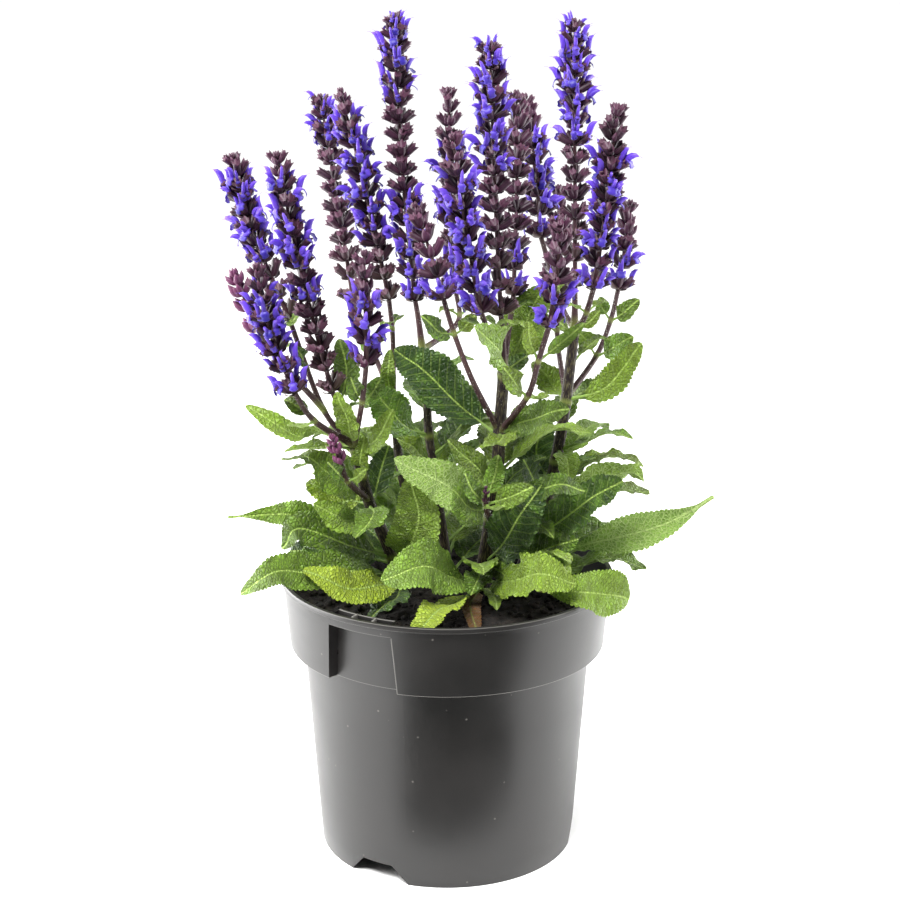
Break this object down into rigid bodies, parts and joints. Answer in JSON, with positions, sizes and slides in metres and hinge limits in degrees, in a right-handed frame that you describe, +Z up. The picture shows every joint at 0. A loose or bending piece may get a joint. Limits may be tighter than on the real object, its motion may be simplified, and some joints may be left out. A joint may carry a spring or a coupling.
{
  "type": "potted perennial salvia",
  "caption": "Bushy perennial salvia with toothed, wrinkled leaves and tall violet-blue flower spikes, growing in a round black nursery pot filled with soil.",
  "frame": {"origin": "centre of the pot's foot pad, on the surface that the pot stands on", "axes": "+Z up, along the pot's axis; -Y towards the front of the plant, where the pot's label recess faces front left; +X to the right seen from the front"},
  "size_m": [0.2693, 0.2003, 0.47],
  "materials": {
    "pot_plastic": "satin charcoal injection-moulded plastic",
    "potting_soil": "moist crumbly peat and bark",
    "leafy_stem": "soft matt leaf with a wrinkled net of veins",
    "flower_spike": "velvety petals and downy dark calyces"
  },
  "bodies": {
    "root": {"flower_spike_01": "flower_spike", "flower_spike_02": "flower_spike", "flower_spike_03": "flower_spike", "flower_spike_04": "flower_spike", "flower_spike_05": "flower_spike", "flower_spike_06": "flower_spike", "flower_spike_07": "flower_spike", "flower_spike_08": "flower_spike", "flower_spike_09": "flower_spike", "flower_spike_10": "flower_spike", "flower_spike_11": "flower_spike", "flower_spike_12": "flower_spike", "flower_spike_13": "flower_spike", "flower_spike_14": "flower_spike", "flower_spike_15": "flower_spike", "flower_spike_16": "flower_spike", "flower_spike_17": "flower_spike", "flower_spike_18": "flower_spike", "flower_spike_19": "flower_spike", "flower_spike_20": "flower_spike", "flower_spike_21": "flower_spike", "leafy_stem_a": "leafy_stem", "leafy_stem_b": "leafy_stem", "leafy_stem_c": "leafy_stem", "leafy_stem_d": "leafy_stem", "leafy_stem_e": "leafy_stem", "nursery_pot": "pot_plastic", "potting_soil": "potting_soil"}
  },
  "joints": []
}
